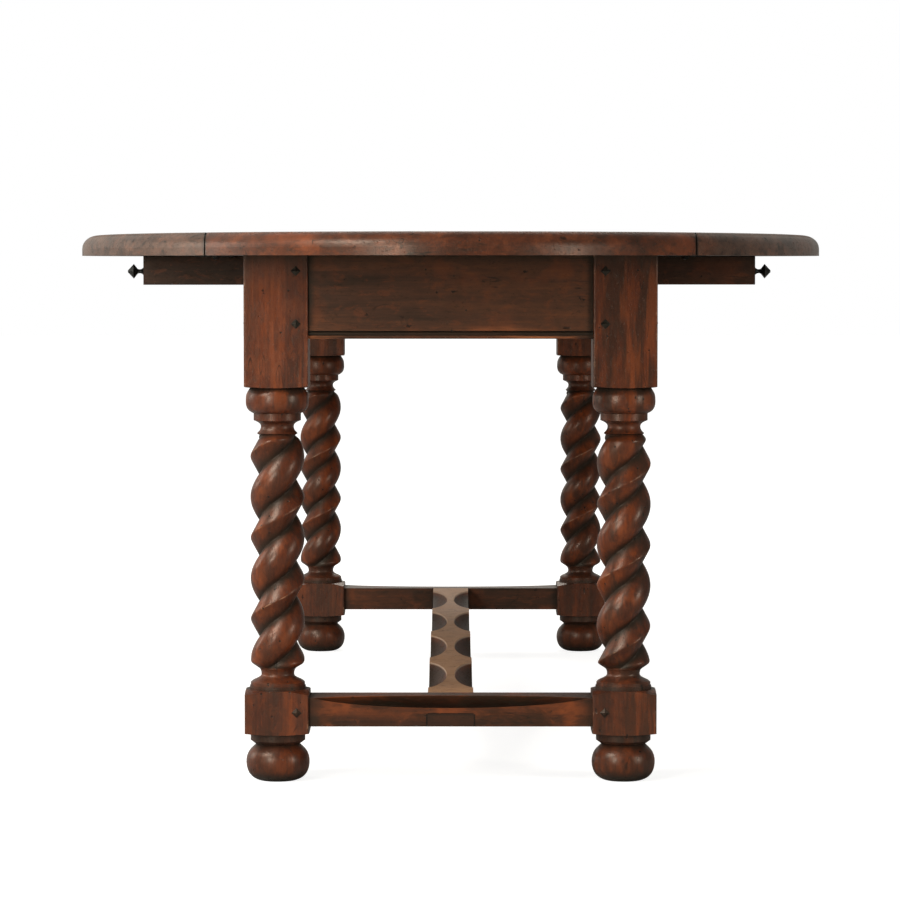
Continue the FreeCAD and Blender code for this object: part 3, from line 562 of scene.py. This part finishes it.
# Lopers
# Four square bearers, stained and waxed, that slide out under the leaves through notches in
# the side aprons. Two dowels in each stop it both ways. The left ones have gone darker.
dark_loper_tones = [
    (0.37, (0.009, 0.005, 0.004)),
    (0.46, (0.019, 0.009, 0.006)),
    (0.55, (0.029, 0.012, 0.007)),
    (0.68, (0.050, 0.018, 0.010)),
]
loper_tones = [
    (0.37, (0.018, 0.010, 0.008)),
    (0.46, (0.036, 0.017, 0.012)),
    (0.55, (0.052, 0.023, 0.014)),
    (0.68, (0.085, 0.033, 0.018)),
]


def loper_finish(name, tones):
    finish, shader, _, color = rail_finish(name, crosswise, tones, glow=0.15)
    feed(shader, "Base Color", color)
    return finish


dark_loper_wood = loper_finish("waxed_dark_loper", dark_loper_tones)
loper_wood = loper_finish("waxed_loper", loper_tones)
dowel_wood = sawn_finish("sawn_dowels", upright)
for corner in twist_start:
    dress("loper_" + corner, dark_loper_wood if "left" in corner else loper_wood)
    dress("loper_stops_" + corner, dowel_wood)

# Iron
# The lopers' pull knobs, and the hinges with their pins under the leaf joints. All are forged
# and blackened with oil, with a duller grey bloom on the faces.
iron_tones = [
    (0.35, (0.009, 0.009, 0.008)),
    (0.55, (0.020, 0.020, 0.018)),
    (0.72, (0.075, 0.072, 0.060)),
]


def iron_finish():
    finish, shader, place = start_finish("blackened_iron")
    mottle = cloud(place, 180.0, detail=4.0, rough=0.65)
    shader.inputs["Metallic"].default_value = 0.6
    feed(shader, "Base Color", toned(mottle, iron_tones))
    feed(shader, "Roughness", 0.36 + mottle * 0.3)
    emboss(shader, mottle, 0.6, 0.0006)
    return finish


iron = iron_finish()
for corner in twist_start:
    dress("loper_knob_" + corner, iron)
for side in ("left", "right"):
    for node in ("fixed_hinge_plates_", "leaf_hinge_plates_", "hinge_pins_"):
        dress(node + side, iron)

# Screws
# Dull steel, with the heads sunk into the hinge plates, the buttons and the corner blocks.
# They hold these to the top, the leaves and the aprons.
steel_tones = [(0.3, (0.12, 0.11, 0.10)), (0.7, (0.34, 0.33, 0.31))]


def screw_finish():
    finish, shader, place = start_finish("dull_steel")
    mottle = cloud(place, 300.0, rough=0.6)
    shader.inputs["Metallic"].default_value = 1.0
    feed(shader, "Base Color", toned(mottle, steel_tones))
    feed(shader, "Roughness", 0.35 + mottle * 0.25)
    return finish


steel = screw_finish()
for node in ("corner_block_screws", "top_button_screws", "fixed_hinge_screws"):
    dress(node, steel)
for side in ("left", "right"):
    dress("leaf_hinge_screws_" + side, steel)

# Top
# The fixed middle and two leaves, each of wide boards glued edge to edge along the table. The
# edge is rounded over and shows the boards' end grain at both ends. The flat is waxed.
top_tones = [
    (0.36, (0.020, 0.010, 0.006)),
    (0.45, (0.054, 0.018, 0.010)),
    (0.54, (0.096, 0.029, 0.014)),
    (0.66, (0.17, 0.052, 0.021)),
]
# The leaves are greyer and paler than the middle, partly a painted sheen on them.
leaf_tones_and_sheen = [
    (0.36, (0.030, 0.018, 0.013)),
    (0.45, (0.070, 0.037, 0.025)),
    (0.54, (0.115, 0.058, 0.038)),
    (0.66, (0.17, 0.085, 0.053)),
]
dark_board = (0.040, 0.018, 0.011)
glowing_red = (0.28, 0.066, 0.020)
smear_brown = (0.034, 0.017, 0.011)
smear_black = (0.006, 0.005, 0.004)

table_height = 0.775
flat_start = (table_height - 0.005, table_height - 0.001)
board_width = 0.136
glue_line = (0.4925, 0.4985)
leaf_joint = 0.3413
joint_wax_and_shade = (0.0014, 0.0032)


def top_finish(name, tones, glow):
    """Waxed boards, each with its own lot of grain, smeared black and brown on the edge."""
    finish, shader, place = start_finish(name)
    x, _, z = split(place)
    counted = x / board_width + 0.5
    number = place.math("FLOOR", counted)
    inside = abs(place.math("FRACT", counted) - 0.5)
    lot = place.node("ShaderNodeTexWhiteNoise", {"W": number}, noise_dimensions="1D")
    offset = place.node("ShaderNodeCombineXYZ", {0: lot * 0.7, 1: lot * 3.1})
    moved = place.node("ShaderNodeVectorMath", {0: place, 1: offset}, operation="ADD")
    flat = rise(z, *flat_start)
    edge = 1 - flat
    seam = rise(inside, *glue_line) * flat

    color, fibres, streaks = timber(moved, lengthwise, tones)
    color = brushed(color, dark_board, rise(lot, 0.1, 0.9) * 0.55 * flat)
    patches = cloud(place, 6.5, bend=0.3, stretch=(1, 0.35, 1))
    color = brushed(color, glowing_red, rise(patches, 0.48, 0.64) * (glow - flat * (glow * 0.55)))
    color, mottle, pores = aged(place, lengthwise, color, 0.35)
    smears = cloud(place, 70.0, detail=4.0, rough=0.7, bend=0.3, stretch=(0.22, 0.6, 1.0))
    color = brushed(color, smear_brown, rise(smears, 0.50, 0.63) * edge * 0.55)
    color = brushed(color, smear_black, rise(smears, 0.635, 0.67) * edge * 0.8)
    scuffs = cloud(place, 34.0, detail=4.0, rough=0.7, bend=0.3, stretch=(1, 0.3, 1))
    color = brushed(color, smear_brown, rise(scuffs, 0.50, 0.64) * flat * 0.45)

    # Wax and painted shade in the corners, and dark glue lines between the boards.
    wax_and_shade = wax_and_shade_in_corners(place, 0.02, 0.35) * 0.9
    color = brushed(color, old_wax_and_shade, most(wax_and_shade, seam * 0.6))
    # Wax and painted shade along the leaf joints, widening the dark gap.
    color = brushed(color, old_wax_and_shade, fall(abs(abs(x) - leaf_joint), *joint_wax_and_shade) * 0.8)
    holes = specks(place, 58.0, size=0.10, share=0.40)
    dents = specks(place, 30.0, size=0.10, share=0.35, stretch=(0.5, 0.5, 1))
    checks = cracks(place, lengthwise, 16.0)
    struck = knocks(place, crosswise)
    marks = most(holes, struck * 0.7, dents * 0.8, checks * 0.8)
    color = brushed(color, dent_black, marks * 0.9)

    polish(shader, 0.38, coat=0.04, coat_rough=0.3)
    feed(shader, "Base Color", color)
    rough = 0.22 + patches * 0.20 + smears * 0.12 + wax_and_shade * 0.2 + pores * 0.2 + flat * 0.27
    feed(shader, "Roughness", rough)
    lumps = cloud(place, 16.0, rough=0.5)
    height = lumps * 1.1 + fibres * 0.08 + mottle * 0.20 + smears * edge * 0.25
    height = height - pores * 0.15 - holes * 0.9 - dents * 1.3 - struck * 1.6 - seam * 0.4
    emboss(shader, height, 0.5, 0.0018)
    return finish


dress("top_center", top_finish("waxed_top", top_tones, 0.5))
leaf_wood = top_finish("waxed_leaf", leaf_tones_and_sheen, 0.2)
dress("leaf_left", leaf_wood)
dress("leaf_right", leaf_wood)

# Floor and light
# A white floor that greys a little towards the table, in a dim room with one bright wall at
# the back left. Three soft lamps stand on the left, one on the right and one high at the rear.
scene = bpy.context.scene
floor_data = bpy.data.meshes.new("floor")
sheet = bmesh.new()
bmesh.ops.create_grid(sheet, x_segments=1, y_segments=1, size=30.0)
sheet.to_mesh(floor_data)
sheet.free()
floor = bpy.data.objects.new("floor", floor_data)
scene.collection.objects.link(floor)


def seen_directly(tree):
    """1 for what the camera sees itself, and 0 for light on its way round the room."""
    return Stain(tree, tree.nodes.new("ShaderNodeLightPath").outputs["Is Camera Ray"])


floor_grey = (0.45, 0.45, 0.45, 1)
glow_at_table = 0.84
floor_white, floor_shader, floor_place = start_finish("floor_white")
floor_shader.inputs["Base Color"].default_value = floor_grey
floor_shader.inputs["Roughness"].default_value = 0.9
floor_shader.inputs["Emission Strength"].default_value = 1.0
floor_glow = glow_at_table + rise(length(floor_place), 1.4, 4.0) * 0.16
feed(floor_shader, "Emission Color", floor_glow * seen_directly(floor_place.tree))
floor.data.materials.append(floor_white)

warm_light = (1.0, 0.965, 0.88)
plain_white = (1.0, 1.0, 1.0)
dim_room = 0.16
world = bpy.data.worlds.new("white_room")
scene.world = world
world.use_nodes = True
room = world.node_tree
sky = room.nodes["Background"]
backdrop = seen_directly(room)
facing = Stain(room, room.nodes.new("ShaderNodeTexCoord").outputs["Generated"])
east, north, _ = split(facing)
back_wall = rise(north * 0.86 - east * 0.51, 0.20, 0.95)
feed(sky, "Color", brushed(warm_light, plain_white, backdrop))
feed(sky, "Strength", most(backdrop, dim_room + back_wall * 0.52))


def lamp(name, spot, aim, width, height, power):
    """A soft rectangular lamp that faces a point on the table."""
    light = bpy.data.lights.new(name, "AREA")
    light.shape = "RECTANGLE"
    light.size = width
    light.size_y = height
    light.energy = power
    light.color = warm_light
    placed = bpy.data.objects.new(name, light)
    scene.collection.objects.link(placed)
    placed.location = spot
    right, ahead, up = [to - at for to, at in zip(aim, spot)]
    pitch = math.atan2(math.hypot(right, ahead), -up)
    placed.rotation_euler = (pitch, 0, math.atan2(ahead, right) - math.pi / 2)


lamp("high_left_lamp", (-2.2, -2.4, 2.7), (0, -0.3, 0.5), width=1.4, height=1.4, power=92)
lamp("front_left_lamp", (-2.0, -4.2, 1.3), (0, -0.5, 0.45), width=0.8, height=1.6, power=76)
lamp("left_window", (-3.6, 0.3, 1.4), (0, -0.2, 0.5), width=1.3, height=1.6, power=26)
lamp("right_lamp", (3.4, -3.0, 1.2), (0, 0, 0.4), width=0.6, height=1.5, power=46)
lamp("rear_lamp", (0.0, 4.0, 3.2), (0, 0.6, 0.4), width=1.8, height=1.4, power=60)

# Camera
# A long lens at about the height of the top, 5 m in front of the table's end and square to
# it, tilted down by almost 3 degrees so that the feet are in the frame.
camera_tilt = 2.897
camera_data = bpy.data.cameras.new("camera")
camera_data.sensor_width = 36.0
camera_data.lens = 150.35
camera_data.shift_x = -0.0007
camera_data.clip_end = 100.0
camera = bpy.data.objects.new("camera", camera_data)
scene.collection.objects.link(camera)
camera.location = (0, -6.194, 0.7368)
camera.rotation_euler = (math.radians(90 - camera_tilt), 0, 0)
scene.camera = camera
scene.view_settings.view_transform = "Standard"
